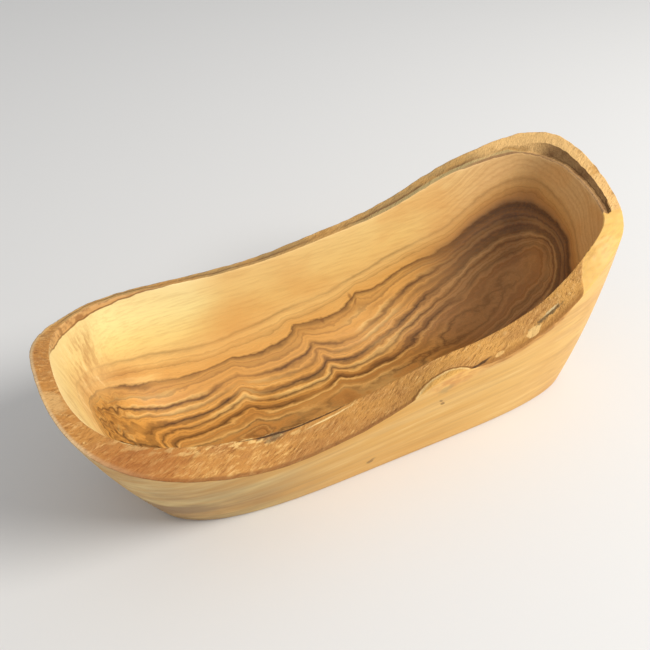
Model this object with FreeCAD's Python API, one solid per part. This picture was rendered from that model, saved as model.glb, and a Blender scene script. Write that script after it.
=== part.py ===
import FreeCAD, Part
import math
import os
from collections import namedtuple

# A long oval bowl carved from one piece of olive wood, with the log's own surface left as its rim.
# Millimetres. +Z is up and the foot stands on Z = 0. +X runs along the bowl to its taller end and
# +Y across it to the side whose rim is higher. The order of work is the carver's: saw a flared
# blank, leave the log's rounded top as the rim, gouge out the hollow and sand the sharp edges.

Vector = FreeCAD.Vector

# Foot: the flat oval that the bowl stands on
foot_half_length = 71.9
foot_half_width = 25.0
foot_fullness = 3.3
foot_taper = -0.027
foot_waist = 0.019
foot_bow = -0.8
foot_skew = -4.2
foot_turn = -2.0
foot_centre_x = -1.1
foot_centre_y = -1.7

# Brim: the oval that the flared walls reach at brim_level
brim_level = 70.0
brim_half_length = 91.8
brim_half_width = 42.9
brim_fullness = 2.8
brim_taper = -0.119
brim_waist = 0.131
brim_bow = -0.8
brim_skew = 4.9
brim_turn = 4.9
brim_centre_x = -0.5
brim_centre_y = 0.2

# How far the walls swell out, half way up, from a straight flare
wall_belly = 1.6

# Hollow: it follows the outside, set in by the walls, shifted, and a little squarer and
# straighter than the outside is. Its floor turns up in a wide curve
end_wall = 5.6
side_wall = 6.7
hollow_shift_x = -1.8
hollow_shift_y = 2.1
hollow_more_fullness = 0.3
hollow_more_taper = -0.01
hollow_more_skew = -1.2
hollow_more_turn = -1.4
floor_thickness = 8.0
floor_corner_rise = 24.0
floor_corner_at_ends = 22.0
floor_corner_at_sides = 14.5

# The log's surface, as heights above the foot: its middle, then how much it rises or falls at
# reach_x along and reach_y across, and the roundness of the trunk
reach_x = 90.0
reach_y = 36.0
log_height = 42.8
log_radius = 135.0
end_rise = 18.4
tall_end_lift = 10.4
tall_end_curl = -10.1
far_side_lift = 9.4
corner_twist = 4.8

# Knots and hollows of the log: height, place along and across, and spread along and across
Swell = namedtuple("Swell", "height x y spread_x spread_y")
knot_by_rim = Swell(8.4, 8.4, -38.8, 10.0, 8.0)
tall_shoulder = Swell(7.2, 67.5, -20.5, 12.0, 10.0)
low_end_corner = Swell(3.0, -60.7, -22.9, 12.0, 9.0)
near_side_dip = Swell(-3.8, -44.7, -40.5, 14.0, 10.0)
tall_end_dip = Swell(-5.1, 68.3, 24.3, 14.0, 12.0)
low_end_dip = Swell(-5.7, -79.9, 17.2, 14.0, 12.0)
far_side_dip = Swell(-3.0, 31.2, 30.7, 16.0, 12.0)
swells = [
    knot_by_rim,
    tall_shoulder,
    low_end_corner,
    near_side_dip,
    tall_end_dip,
    low_end_dip,
    far_side_dip,
]

# Ledge: at the tall end the bark's inner layer lies lower than its outer one. It starts at the
# hollow's edge, which bends round ledge_centre_y, and falls away from the outer layer's slope
ledge_width = 3.6
ledge_fall = 0.5
ledge_start_x = 81.5
ledge_centre_y = 4.0
ledge_bend_radius = 45.0
ledge_near_end_y = -12.5

# Foot's edge, eased with a plane
foot_edge_bevel = 1.0

# How finely the outlines, walls and the log's surface are spelled out and measured
outline_points = 24
wall_steps = 10
corner_steps = 12
log_step = 6.0
mesh_step = 0.05
blank_height = 90.0
stock_spare = 12.0

Oval = namedtuple(
    "Oval", "half_length half_width fullness taper waist bow skew turn centre_x centre_y"
)
foot = Oval(
    foot_half_length,
    foot_half_width,
    foot_fullness,
    foot_taper,
    foot_waist,
    foot_bow,
    foot_skew,
    foot_turn,
    foot_centre_x,
    foot_centre_y,
)
brim = Oval(
    brim_half_length,
    brim_half_width,
    brim_fullness,
    brim_taper,
    brim_waist,
    brim_bow,
    brim_skew,
    brim_turn,
    brim_centre_x,
    brim_centre_y,
)


def oval_wire(oval, level):
    """A closed smooth curve at one height: a full oval, tapered, waisted, bowed and skewed."""
    turn = math.radians(oval.turn)
    points = []
    for step in range(outline_points):
        angle = 2 * math.pi * step / outline_points
        squareness = abs(math.cos(angle)) ** oval.fullness + abs(math.sin(angle)) ** oval.fullness
        reach = squareness ** (-1 / oval.fullness)
        along = reach * math.cos(angle)
        across = reach * math.sin(angle)
        width = oval.half_width * (1 + oval.taper * along + oval.waist * (2 * along**2 - 1))
        x = oval.half_length * along + oval.skew * across
        y = width * across + oval.bow * (along**2 - 0.5)
        points.append(
            Vector(
                oval.centre_x + x * math.cos(turn) - y * math.sin(turn),
                oval.centre_y + x * math.sin(turn) + y * math.cos(turn),
                level,
            )
        )
    curve = Part.BSplineCurve()
    spacing = [step / outline_points for step in range(outline_points + 1)]
    curve.interpolate(Points=points, PeriodicFlag=True, Parameters=spacing)
    return Part.Wire(curve.toShape())


def outside_oval(level):
    """The outside of the wall at one height, between the foot and the brim and beyond it."""
    share = level / brim_level
    belly = wall_belly * 4 * share * (1 - share)
    between = Oval(*(low + (high - low) * share for low, high in zip(foot, brim)))
    return between._replace(
        half_length=between.half_length + belly,
        half_width=between.half_width + belly,
    )


def hollow_oval(level, corner=0.0):
    """The inside of the wall at one height. corner is 1 at the floor and 0 where the wall starts."""
    outside = outside_oval(level)
    return outside._replace(
        half_length=outside.half_length - end_wall - floor_corner_at_ends * corner,
        half_width=outside.half_width - side_wall - floor_corner_at_sides * corner,
        fullness=outside.fullness + hollow_more_fullness,
        taper=outside.taper + hollow_more_taper,
        skew=outside.skew + hollow_more_skew,
        turn=outside.turn + hollow_more_turn,
        centre_x=outside.centre_x + hollow_shift_x,
        centre_y=outside.centre_y + hollow_shift_y,
    )


def log_surface_height(x, y):
    """The height of the log's surface over a point of the foot's plane."""
    along = x / reach_x
    across = y / reach_y
    height = log_height + end_rise * along**2
    height += tall_end_lift * along + tall_end_curl * along**3
    height += far_side_lift * across + corner_twist * along * across
    height -= y**2 / (2 * log_radius)
    for swell in swells:
        away = ((x - swell.x) / swell.spread_x) ** 2 + ((y - swell.y) / swell.spread_y) ** 2
        height += swell.height * math.exp(-away / 2)
    return height


def ledge_height(x, y):
    """The height of the bark's inner layer."""
    start_x = ledge_start_x - (y - ledge_centre_y) ** 2 / (2 * ledge_bend_radius)
    return log_surface_height(x, y) - ledge_fall * (x - start_x)


def air_over(height, top):
    """What the log doesn't have: the space over one of its layers, past the blank on every side."""
    half_x = brim_half_length + abs(brim_centre_x) + stock_spare
    half_y = brim_half_width * (1 + abs(brim_waist)) + stock_spare
    columns = math.ceil(2 * half_x / log_step)
    rows = math.ceil(2 * half_y / log_step)
    xs = [half_x * (2 * column / columns - 1) for column in range(columns + 1)]
    ys = [half_y * (2 * row / rows - 1) for row in range(rows + 1)]
    surface = Part.BSplineSurface()
    surface.interpolate([[Vector(x, y, height(x, y)) for y in ys] for x in xs])
    return surface.toShape().extrude(Vector(0, 0, top))


def lofted(ovals_at_levels):
    """A solid through level outlines, each an oval with its height."""
    wires = [oval_wire(oval, level) for oval, level in ovals_at_levels]
    return Part.makeLoft(wires, True, False, False, 3)


def sawn_blank(top):
    """The flared block, flat underneath, before its top is touched."""
    levels = [top * step / wall_steps for step in range(wall_steps + 1)]
    return lofted([(outside_oval(level), level) for level in levels])


def hollow_wall(top):
    """The hollow from where its flared wall starts."""
    wall_start = floor_thickness + floor_corner_rise
    rise = (top - wall_start) / wall_steps
    levels = [wall_start + rise * step for step in range(wall_steps + 1)]
    return lofted([(hollow_oval(level), level) for level in levels])


def hollow_floor():
    """The hollow's flat floor and the quarter round that turns up from it to the wall."""
    sections = []
    for step in range(corner_steps + 1):
        angle = math.radians(90 * step / corner_steps)
        level = floor_thickness + floor_corner_rise * (1 - math.cos(angle))
        sections.append((hollow_oval(level, 1 - math.sin(angle)), level))
    return lofted(sections)


def ledge_wood(top):
    """The outer layer's wood over the ledge, as far as its abrupt end on the near side."""
    over = hollow_wall(top).translated(Vector(ledge_width, 0, 0))
    layer = over.common(air_over(ledge_height, top))
    end = Part.makeBox(brim_half_length, brim_half_width * 2, top)
    return layer.common(end.translated(Vector(brim_half_length / 2, ledge_near_end_y, 0)))


def centred(solid):
    """Moves the bowl so that its box, measured on a fine mesh, is centred over the origin."""
    points, _ = solid.copy().tessellate(mesh_step)
    middle_x = (min(point.x for point in points) + max(point.x for point in points)) / 2
    middle_y = (min(point.y for point in points) + max(point.y for point in points)) / 2
    return solid.translated(Vector(-middle_x, -middle_y, 0))


def foot_edges(bowl):
    """The edge all round the flat foot."""
    return [edge for edge in bowl.Edges if edge.BoundBox.ZMax < foot_edge_bevel / 2]


def make_bowl():
    bowl = sawn_blank(blank_height)
    bowl = bowl.cut(air_over(log_surface_height, blank_height))
    bowl = bowl.cut(ledge_wood(blank_height))
    bowl = bowl.cut(hollow_wall(blank_height + stock_spare))
    bowl = bowl.cut(hollow_floor())
    solid = bowl.Solids[0]
    solid = solid.makeChamfer(foot_edge_bevel, foot_edges(solid))
    return centred(solid)


if __name__ == "__main__":
    os.makedirs("parts", exist_ok=True)
    make_bowl().exportStep("parts/bowl.step")
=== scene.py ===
import math

import bmesh
import bpy
from collections import namedtuple
from mathutils import Matrix, Vector, noise
from mathutils.bvhtree import BVHTree


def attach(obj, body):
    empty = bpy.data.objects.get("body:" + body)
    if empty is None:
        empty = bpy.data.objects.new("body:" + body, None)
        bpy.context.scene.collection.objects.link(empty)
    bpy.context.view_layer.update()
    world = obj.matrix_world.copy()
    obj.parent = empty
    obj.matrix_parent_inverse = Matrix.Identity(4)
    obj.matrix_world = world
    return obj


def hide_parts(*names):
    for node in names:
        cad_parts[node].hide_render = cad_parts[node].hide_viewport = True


# An oval olive-wood bowl on a pale floor. It is one piece of wood: smooth outside, gouged and
# scraped in the hollow, and left as it grew along the rim. Lengths are millimetres in the packed
# solid's own frame until the mesh is made
MM = 0.001

# Camera, at the photograph's viewing angle, in millimetres and degrees. What is nearer to it than
# camera_near, in metres, isn't drawn
camera_target = (-3.07, 17.20, 22.00)
camera_distance = 227.99
camera_azimuth = -26.534
camera_elevation = 39.712
camera_roll = -1.134
camera_lens = 38.31
camera_near = 0.01

# Light: an even room and one large soft lamp, up on the taller end's side, in metres and watts,
# over a pale floor
room_strength = 0.50
lamp_place = (0.55, -0.50, 0.66)
lamp_size = 0.45
lamp_power = 8.2
lamp_colour = (1.0, 0.975, 0.93)
floor_size = 3.0
floor_grey = 0.8
floor_roughness = 0.9

# The bowl's mesh. Slices stand evenly round it, from a spine along its middle to an oval just
# outside it. Each slice runs from the middle of the foot up the outside, over the rim, and down
# the hollow to the middle of its floor
slices = 720
spine_end = 58.0
guide_half_length = 96.0
guide_half_width = 42.0
guide_fullness = 2.8
guide_steps = 20000
foot_rows = 9
bevel_levels = (0.02, 0.35, 0.7, 1.05)
wall_rows = 28
ledge_rows = 9
crest_rows = 16
hollow_rows = 44

# Its edges: how far they are eased back, how round they are, and how far from them the solid is
# measured. Where there is no ledge, its rows stand riser_share of the way out from the hollow
edge_easing = 0.35
edge_roundness = 0.45
riser_share = 0.3
riser_width = 0.05
edge_clearance = 0.01
riser_clearance = 0.02

# How finely and how far the solid is searched, how level a flat place is, how high the rim is over
# the floor and a ledge's end is at least, and how near two points are taken for one
search_step = 0.3
search_halvings = 16
path_steps_per_search = 2
search_top = 90.0
search_reach = 130.0
flat_normal = 0.6
rim_over_floor = 20.0
step_height = 0.6
weld_distance = 0.001

# The rim's own surface, where the bark was: how far its hollows go down, how long and wide they
# are, and the finer hollows in them
bark_dip = 0.45
bark_long_scale = 7.0
bark_cross_scale = 2.6
bark_middle = 0.5
bark_coarse_share = 0.62
bark_fine_share = 0.38
bark_fine_closeness = 2.7
bark_fine_shift = Vector((31, 7, 13))

# The log's surface over the bowl, as the figure of the wood follows it: its height in the middle,
# and how it rises to both ends, to the tall end and to the far side
log_height = 42.8
log_end_rise = 18.4
log_tall_lift = 10.4
log_tall_curl = -10.1
log_far_lift = 9.4
log_twist = 4.8
log_radius = 135.0
log_reach_x = 90.0
log_reach_y = 36.0

# The figure: growth rings as depths under the log's surface, in millimetres. They rise towards
# the tall end, crowd together at the low end's wall, and never pass the rings of the heart, which
# run lengthwise along the hollow's floor and up the tall end's wall
Lump = namedtuple("Lump", "rise x y spread_x spread_y")
low_end_crowding = Lump(8.0, -79.0, 0.0, 7.5, 9.0)
shoulder_sag = Lump(-1.2, 46.0, 24.0, 7.0, 30.0)
ring_lumps = (low_end_crowding, shoulder_sag)
middle_rise = 4.2
middle_rise_from = -50.0
middle_rise_to = -5.0
tall_end_rise = 7.4
tall_end_rise_from = 48.0
tall_end_rise_to = 80.0
swirl_rise = 5.6
swirl_y = 3.5
swirl_spread_y = 5.5
swirl_z = 35.0
swirl_spread_z = 6.0
swirl_from = 60.0
swirl_to = 71.0
near_corner_fall = 3.5
near_corner_from = -2.0
near_corner_to = -10.0
heart_ring = 46.5
heart_ring_rise = 1.5
heart_ring_rise_from = 20.0
heart_closeness = 0.65
heart_blunt = 2.0
heart_line_y = -4.0
heart_line_shift = 13.0
heart_line_reach = 58.0
heart_line_return = 5.0
heart_return_from = 66.0
heart_return_to = 78.0
heart_end_x = -66.0
heart_end_closeness = 0.8
heart_softness = 5.0
floor_figure_top = 14.0
floor_figure_bottom = 9.0

# Kinks in the rings, where small twigs grew through them: how high they push the rings, where
# they stand, how they lean with depth, how wide they are, and the depths they reach through
Kink = namedtuple("Kink", "push x lean left right first full last gone")
kinks = (
    Kink(1.9, -12.0, 0.7, 2.0, 3.0, 19.0, 25.0, 60.0, 70.0),
    Kink(2.6, -35.0, 0.0, 9.0, 3.5, 24.0, 32.0, 60.0, 70.0),
    Kink(1.8, 12.0, 0.0, 3.0, 3.0, 19.0, 22.0, 26.0, 30.0),
)
kink_lean_depth = 24.0
kink_roundness = 0.7

# The dark heart of the tall end, partly dark heartwood and partly painted shade: where it begins
# along the bowl, and how much of it fades inside the rings of its core
dark_heart_from = 26.0
dark_heart_to = 64.0
dark_core_rings = (37.0, 43.0)
dark_heart_core = 0.25

# Outside, the rings turn down with the wall, so that they are seen nearly along their length
outside_share = 0.4
foot_share = 1.1

# What the mesh keeps at each point for its materials: the growth ring, how far across the rim it
# is, the dark heart's stain with its painted shade, whether it is outside, and how far below the
# rim's edge
kept_values = ("ring", "across", "heart", "outside", "drop")


def blend(value, low, high):
    """0 up to low, 1 from high, and a smooth rise between them. high may be under low."""
    share = max(0.0, min(1.0, (value - low) / (high - low)))
    return share * share * (3 - 2 * share)


def log_depth(point):
    """How far a point lies under the log's surface."""
    along = point.x / log_reach_x
    across = point.y / log_reach_y
    height = log_height + log_end_rise * along**2
    height += log_tall_lift * along + log_tall_curl * along**3
    height += log_far_lift * across + log_twist * along * across
    height -= point.y**2 / (2 * log_radius)
    return height - point.z


def soft_least(first, second, width):
    """The lesser of two values, with a smooth change from one to the other."""
    share = max(0.0, min(1.0, 0.5 + 0.5 * (second - first) / width))
    return second + (first - second) * share - width * share * (1 - share)


def heart_rings(point):
    """The growth ring by how far a point lies from the heart, which runs along under the floor."""
    heart_y = heart_line_y + heart_line_shift * blend(point.x, 0, heart_line_reach)
    heart_y -= heart_line_return * blend(point.x, heart_return_from, heart_return_to)
    past_end = max(0.0, heart_end_x - point.x) * heart_end_closeness
    from_heart = math.hypot(point.y - heart_y, past_end, heart_blunt)
    nearest = heart_ring + heart_ring_rise * blend(point.x, heart_ring_rise_from, heart_line_reach)
    return nearest - heart_closeness * from_heart


def hollow_ring(point):
    """The growth ring that shows at a point of the hollow."""
    depth = log_depth(point)
    ring = depth + middle_rise * blend(point.x, middle_rise_from, middle_rise_to)
    ring += tall_end_rise * blend(point.x, tall_end_rise_from, tall_end_rise_to)
    for lump in ring_lumps:
        along = (point.x - lump.x) / lump.spread_x
        across = (point.y - lump.y) / lump.spread_y
        ring += lump.rise * math.exp(-(along**2 + across**2) / 2)
    at_tall_end = blend(point.x, swirl_from, swirl_to)
    across = (point.y - swirl_y) / swirl_spread_y
    up = (point.z - swirl_z) / swirl_spread_z
    ring += swirl_rise * math.exp(-(across**2 + up**2) / 2) * at_tall_end
    ring -= near_corner_fall * blend(point.y, near_corner_from, near_corner_to) * at_tall_end
    by_heart = heart_rings(point)
    ring = soft_least(ring, by_heart, heart_softness)
    ring += (by_heart - ring) * blend(point.z, floor_figure_top, floor_figure_bottom)
    for kink in kinks:
        at = kink.x + kink.lean * (depth - kink_lean_depth)
        width = kink.left if point.x < at else kink.right
        reach = blend(depth, kink.first, kink.full) * (1 - blend(depth, kink.last, kink.gone))
        away = math.hypot(point.x - at, kink_roundness) - kink_roundness
        ring += kink.push * math.exp(-away / width) * reach
    return ring


def heart_stain_and_shade(point, ring):
    """How far the tall end's dark heart, stain and painted shade, darkens a point of the hollow."""
    stain = blend(point.x, dark_heart_from, dark_heart_to)
    return stain * (1 - dark_heart_core * blend(ring, *dark_core_rings))


def cad_tree(cad):
    """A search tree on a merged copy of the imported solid's mesh, in millimetres."""
    copy = bmesh.new()
    copy.from_mesh(cad.data)
    bmesh.ops.scale(copy, vec=Vector((1 / MM,) * 3), verts=copy.verts)
    bmesh.ops.remove_doubles(copy, verts=copy.verts, dist=weld_distance)
    tree = BVHTree.FromBMesh(copy)
    copy.free()
    return tree


def guide_points():
    """Points evenly spaced round a full oval just outside the bowl."""
    fine = []
    for step in range(guide_steps + 1):
        angle = 2 * math.pi * step / guide_steps
        along, across = math.cos(angle), math.sin(angle)
        squareness = abs(along) ** guide_fullness + abs(across) ** guide_fullness
        reach = squareness ** (-1 / guide_fullness)
        fine.append(
            Vector((guide_half_length * reach * along, guide_half_width * reach * across, 0))
        )
    lengths = [0.0]
    for before, after in zip(fine, fine[1:]):
        lengths.append(lengths[-1] + (after - before).length)
    even, at = [], 0
    for station in range(slices):
        wanted = lengths[-1] * station / slices
        while lengths[at + 1] < wanted:
            at += 1
        share = (wanted - lengths[at]) / (lengths[at + 1] - lengths[at])
        even.append(fine[at].lerp(fine[at + 1], share))
    return even


def last_that_holds(test, holds, fails):
    """The place between two distances where a test that holds at the first begins to fail."""
    for _ in range(search_halvings):
        middle = (holds + fails) / 2
        if test(middle):
            holds = middle
        else:
            fails = middle
    return (holds + fails) / 2


def bark_depth(point):
    """How far the natural surface lies under the log's smooth one, in small fibrous hollows."""
    across, up = point.y / bark_cross_scale, point.z / bark_cross_scale
    place = Vector((point.x / bark_long_scale, across, up))
    coarse = noise.noise(place)
    fine = noise.noise(place * bark_fine_closeness + bark_fine_shift)
    share = bark_middle + bark_coarse_share * coarse + bark_fine_share * fine
    return bark_dip * max(0.0, min(1.0, share))


class Slice:
    """One upright cut through the bowl, from its spine outwards."""

    def __init__(self, tree, guide):
        self.tree = tree
        self.start = Vector((max(-spine_end, min(spine_end, guide.x)), 0, 0))
        self.outward = (guide - self.start).normalized()
        self.find_rim()

    def place(self, distance, level=0.0):
        point = self.start + self.outward * distance
        point.z = level
        return point

    def top(self, distance):
        return self.tree.ray_cast(self.place(distance, search_top), Vector((0, 0, -1)))

    def outside(self, level):
        return self.tree.ray_cast(self.place(search_reach, level), -self.outward)[0]

    def is_flat(self, distance):
        return self.top(distance)[1].z > flat_normal

    def find_rim(self):
        """Where the hollow's edge, the ledge's riser and the outer edge cross this slice."""
        floor_level = self.top(0)[0].z
        seen = []
        while True:
            distance = len(seen) * search_step
            point, normal, _, _ = self.top(distance)
            if point is None:
                break
            seen.append((distance, point.z, normal.z > flat_normal))
        last = seen[-1][0]
        past = last + search_step
        self.outer = last_that_holds(lambda d: self.top(d)[0] is not None, last, past)
        edges = []
        for (near, before, flat), (far, level, after) in zip(seen, seen[1:]):
            if before < floor_level + rim_over_floor:
                continue
            if flat != after:
                edges.append(last_that_holds(lambda d: self.is_flat(d) == flat, near, far))
            elif flat and abs(level - before) > step_height:
                middle = (before + level) / 2
                lower = before < middle
                step = last_that_holds(lambda d: (self.top(d)[0].z < middle) == lower, near, far)
                edges.extend((step, step))
        self.inner = edges[0]
        self.riser = tuple(edges[1:3]) if len(edges) >= 3 else None

    def rim_point(self, distance):
        point = self.top(distance)[0]
        return point - Vector((0, 0, bark_depth(point)))

    def points(self):
        """Every point of the slice, the part it is on, and a measure of where it lies there.

        On the rim that is 0 at the outer edge, 1 where the ledge starts and 2 at the hollow's edge.
        In the hollow and on the wall it is how far down from the rim's edge the point is.
        """
        made = []
        foot = self.outside(bevel_levels[0])
        foot_reach = (foot - self.place(0, foot.z)).length
        for row in range(foot_rows):
            made.append((self.place(foot_reach * row / foot_rows), "foot", 0))
        for level in bevel_levels:
            made.append((self.outside(level), "wall", search_top))
        outer_edge = self.rim_point(self.outer - edge_clearance)
        top_level = outer_edge.z - edge_easing
        for row in range(1, wall_rows + 1):
            level = bevel_levels[-1] + (top_level - bevel_levels[-1]) * row / wall_rows
            made.append((self.outside(level), "wall", outer_edge.z - level))
        first = self.rim_point(self.outer - edge_easing)
        eased = (made[-1][0] + first) / 2
        made.append((eased.lerp(outer_edge, edge_roundness), "rim", 0))
        if self.riser:
            ledge_end, crest_start = self.riser
        else:
            ledge_end = self.inner + (self.outer - self.inner) * riser_share
            crest_start = ledge_end + riser_width
        crest_from = self.outer - edge_easing
        crest_to = crest_start + riser_clearance
        for row in range(crest_rows + 1):
            distance = crest_from + (crest_to - crest_from) * row / crest_rows
            made.append((self.rim_point(distance), "rim", row / crest_rows))
        ledge_from = ledge_end - riser_clearance
        ledge_to = self.inner + edge_easing
        for row in range(ledge_rows + 1):
            distance = ledge_from + (ledge_to - ledge_from) * row / ledge_rows
            made.append((self.rim_point(distance), "ledge", 1 + row / ledge_rows))
        made.extend(self.hollow_points(made[-1][0]))
        return made

    def hollow_points(self, last_on_rim):
        """Down the hollow's wall, round its corner and along its floor, evenly spaced."""
        edge = self.rim_point(self.inner)
        steps = int(self.inner / search_step * path_steps_per_search)
        path = []
        for step in range(steps + 1):
            distance = (self.inner - edge_clearance) * (1 - step / steps)
            point = self.top(distance)[0]
            if point.z < edge.z - edge_easing or path:
                path.append(point)
        lengths = [0.0]
        for before, after in zip(path, path[1:]):
            lengths.append(lengths[-1] + (after - before).length)
        eased = (path[0] + last_on_rim) / 2
        found = [(eased.lerp(edge, edge_roundness), "rim", 2)]
        at = 0
        for row in range(hollow_rows):
            wanted = lengths[-1] * row / hollow_rows
            while lengths[at + 1] < wanted:
                at += 1
            share = (wanted - lengths[at]) / (lengths[at + 1] - lengths[at])
            point = path[at].lerp(path[at + 1], share)
            near = self.tree.find_nearest(point)[0]
            found.append((near, "hollow", edge.z - near.z))
        found.append((path[-1], "hollow", edge.z - path[-1].z))
        return found


def build_bowl(tree):
    """The bowl's mesh: a grid of slices and rows, bent round into one closed skin."""
    columns = [Slice(tree, guide).points() for guide in guide_points()]
    rows = len(columns[0])
    skin = bmesh.new()
    bmesh.ops.create_grid(skin, x_segments=slices, y_segments=rows - 1, size=1)
    kept = {name: skin.verts.layers.float.new(name) for name in kept_values}
    for face in skin.faces:
        row = math.floor((face.calc_center_median().y + 1) / 2 * (rows - 1))
        face.material_index = 1 if columns[0][row + 1][1] in ("rim", "ledge") else 0
    for vert in skin.verts:
        column = round((vert.co.x + 1) / 2 * slices) % slices
        row = round((vert.co.y + 1) / 2 * (rows - 1))
        point, kind, share = columns[column][row]
        vert.co = point * MM
        if kind == "hollow":
            ring = hollow_ring(point)
        elif kind == "foot":
            edge = columns[column][foot_rows][0]
            ring = outside_share * log_depth(edge) + foot_share * (edge - point).length
        else:
            ring = outside_share * max(0.0, log_depth(point))
        vert[kept["ring"]] = ring
        vert[kept["across"]] = share if kind in ("rim", "ledge") else 0.0
        vert[kept["drop"]] = share if kind in ("hollow", "wall") else 0.0
        vert[kept["heart"]] = heart_stain_and_shade(point, ring) if kind == "hollow" else 0.0
        vert[kept["outside"]] = 1.0 if kind in ("foot", "wall") else 0.0
    bmesh.ops.remove_doubles(skin, verts=skin.verts, dist=weld_distance * MM)
    bmesh.ops.recalc_face_normals(skin, faces=skin.faces)
    mesh = bpy.data.meshes.new("bowl_wood")
    skin.to_mesh(mesh)
    skin.free()
    for polygon in mesh.polygons:
        polygon.use_smooth = True
    bowl = bpy.data.objects.new("bowl_wood", mesh)
    bpy.context.scene.collection.objects.link(bowl)
    return bowl


def shade(text):
    """A colour given as it looks on a screen, in hexadecimal, as the shader's linear values."""
    parts = [int(text[at : at + 2], 16) / 255 for at in (0, 2, 4)]
    return [p / 12.92 if p <= 0.04045 else ((p + 0.055) / 1.055) ** 2.4 for p in parts] + [1.0]


class Bench:
    """Short ways to lay out and join the nodes of one material or group."""

    def __init__(self, tree):
        self.tree = tree

    def add(self, kind, **settings):
        node = self.tree.nodes.new(kind)
        for name, value in settings.items():
            setattr(node, name, value)
        return node

    def feed(self, socket, value):
        if isinstance(value, bpy.types.NodeSocket):
            self.tree.links.new(value, socket)
        elif value is not None:
            socket.default_value = value

    def math(self, operation, first, second=None, third=None):
        node = self.add("ShaderNodeMath", operation=operation)
        for socket, value in zip(node.inputs, (first, second, third)):
            self.feed(socket, value)
        return node.outputs[0]

    def remap(self, value, low, high, to_low=0.0, to_high=1.0):
        """A smooth change from one strength, at one place of a value, to another."""
        node = self.add("ShaderNodeMapRange", interpolation_type="SMOOTHSTEP")
        for socket, given in zip(node.inputs, (value, low, high, to_low, to_high)):
            self.feed(socket, given)
        return node.outputs[0]

    def product(self, first, *others):
        """All the values multiplied together."""
        for other in others:
            first = self.math("MULTIPLY", first, other)
        return first

    def waver(self, value, amount):
        """A noise's value as a shift, by up to half the amount to either side of 0."""
        return self.math("MULTIPLY_ADD", value, amount, -amount / 2)

    def mix(self, factor, first, second):
        """Two colours mixed. The node has sockets for other kinds of value before them."""
        node = self.add("ShaderNodeMix", data_type="RGBA")
        self.feed(node.inputs[0], factor)
        self.feed(node.inputs[6], first)
        self.feed(node.inputs[7], second)
        return node.outputs[2]

    def paint(self, tone, colour, *masks):
        """A colour laid over a tone as far as the masks, multiplied together, let it."""
        return self.mix(self.product(*masks), tone, shade(colour))

    def place(self, scale, turn=0, shift=(0, 0, 0)):
        """Object coordinates, turned round Z and stretched: scale is in repeats per metre."""
        spot = self.add("ShaderNodeTexCoord").outputs["Object"]
        if turn:
            turned = self.add("ShaderNodeMapping")
            self.feed(turned.inputs["Vector"], spot)
            self.feed(turned.inputs["Rotation"], (0, 0, math.radians(-turn)))
            spot = turned.outputs[0]
        node = self.add("ShaderNodeMapping")
        self.feed(node.inputs["Vector"], spot)
        self.feed(node.inputs["Scale"], scale)
        self.feed(node.inputs["Location"], shift)
        return node.outputs[0]

    def millimetres(self):
        """Object coordinates in millimetres: along, across and up."""
        split = self.add("ShaderNodeSeparateXYZ")
        self.feed(split.inputs[0], self.place((1 / MM,) * 3))
        return tuple(split.outputs)

    def grain(self, kind):
        """A noise that runs through the wood, from 0 to 1."""
        node = self.add("ShaderNodeTexNoise")
        self.feed(node.inputs["Vector"], self.place(kind.scale, kind.turn, kind.shift))
        self.feed(node.inputs["Scale"], 1.0)
        self.feed(node.inputs["Detail"], kind.detail)
        self.feed(node.inputs["Roughness"], kind.roughness)
        return node.outputs[0]

    def line_noise(self, value, scale, detail):
        """A noise along one value, such as the ring, from 0 to 1."""
        node = self.add("ShaderNodeTexNoise", noise_dimensions="1D")
        self.feed(node.inputs["W"], value)
        self.feed(node.inputs["Scale"], scale)
        self.feed(node.inputs["Detail"], detail)
        return node.outputs[0]

    def ramp(self, factor, stops):
        """A colour ramp. Stops are places from 0 to 1 with colours or greys."""
        node = self.add("ShaderNodeValToRGB")
        self.feed(node.inputs[0], factor)
        band = node.color_ramp
        for index, (at, value) in enumerate(stops):
            stop = band.elements[index] if index < 2 else band.elements.new(at)
            stop.position = at
            stop.color = value if isinstance(value, list) else (value, value, value, 1)
        return node.outputs[0]

    def attribute(self, name):
        return self.add("ShaderNodeAttribute", attribute_name=name).outputs["Fac"]

    def bump(self, height, strength, distance):
        node = self.add("ShaderNodeBump")
        self.feed(node.inputs["Height"], height)
        self.feed(node.inputs["Strength"], strength)
        self.feed(node.inputs["Distance"], distance)
        return node.outputs[0]


def new_group(name, inputs, outputs):
    """An empty node group with float inputs and (name, kind) outputs, and its bench."""
    tree = bpy.data.node_groups.new(name, "ShaderNodeTree")
    for label in inputs:
        tree.interface.new_socket(label, in_out="INPUT", socket_type="NodeSocketFloat")
    for label, kind in outputs:
        tree.interface.new_socket(label, in_out="OUTPUT", socket_type=kind)
    bench = Bench(tree)
    return tree, bench, bench.add("NodeGroupInput").outputs, bench.add("NodeGroupOutput").inputs


# A noise that runs through the wood: its repeats in a metre along, across and up, a shift that
# keeps it from following the others, how finely it is broken up, and its turn off the length
Grain = namedtuple("Grain", "scale shift detail roughness turn", defaults=((0, 0, 0), 2, 0.5, 0))

# A fade is two places and, where they aren't 0 and 1, the two strengths there. Its name says what
# the places are: rings, x, y or z in millimetres, the drop below the rim's edge, or how far across
# the rim. Otherwise they are values of a noise or a mask. Colours are as they look on a screen

# Colours of the wood by ring, from the sapwood under the bark to the heart
wood_tones = (
    (0.0, "f9e4a6"),
    (10.0, "fff0a8"),
    (18.0, "fde494"),
    (22.5, "f0c97e"),
    (28.0, "e4ad5c"),
    (36.0, "d89d4b"),
    (44.0, "c98f47"),
    (58.0, "b98145"),
)
ring_span = 58.0

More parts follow.
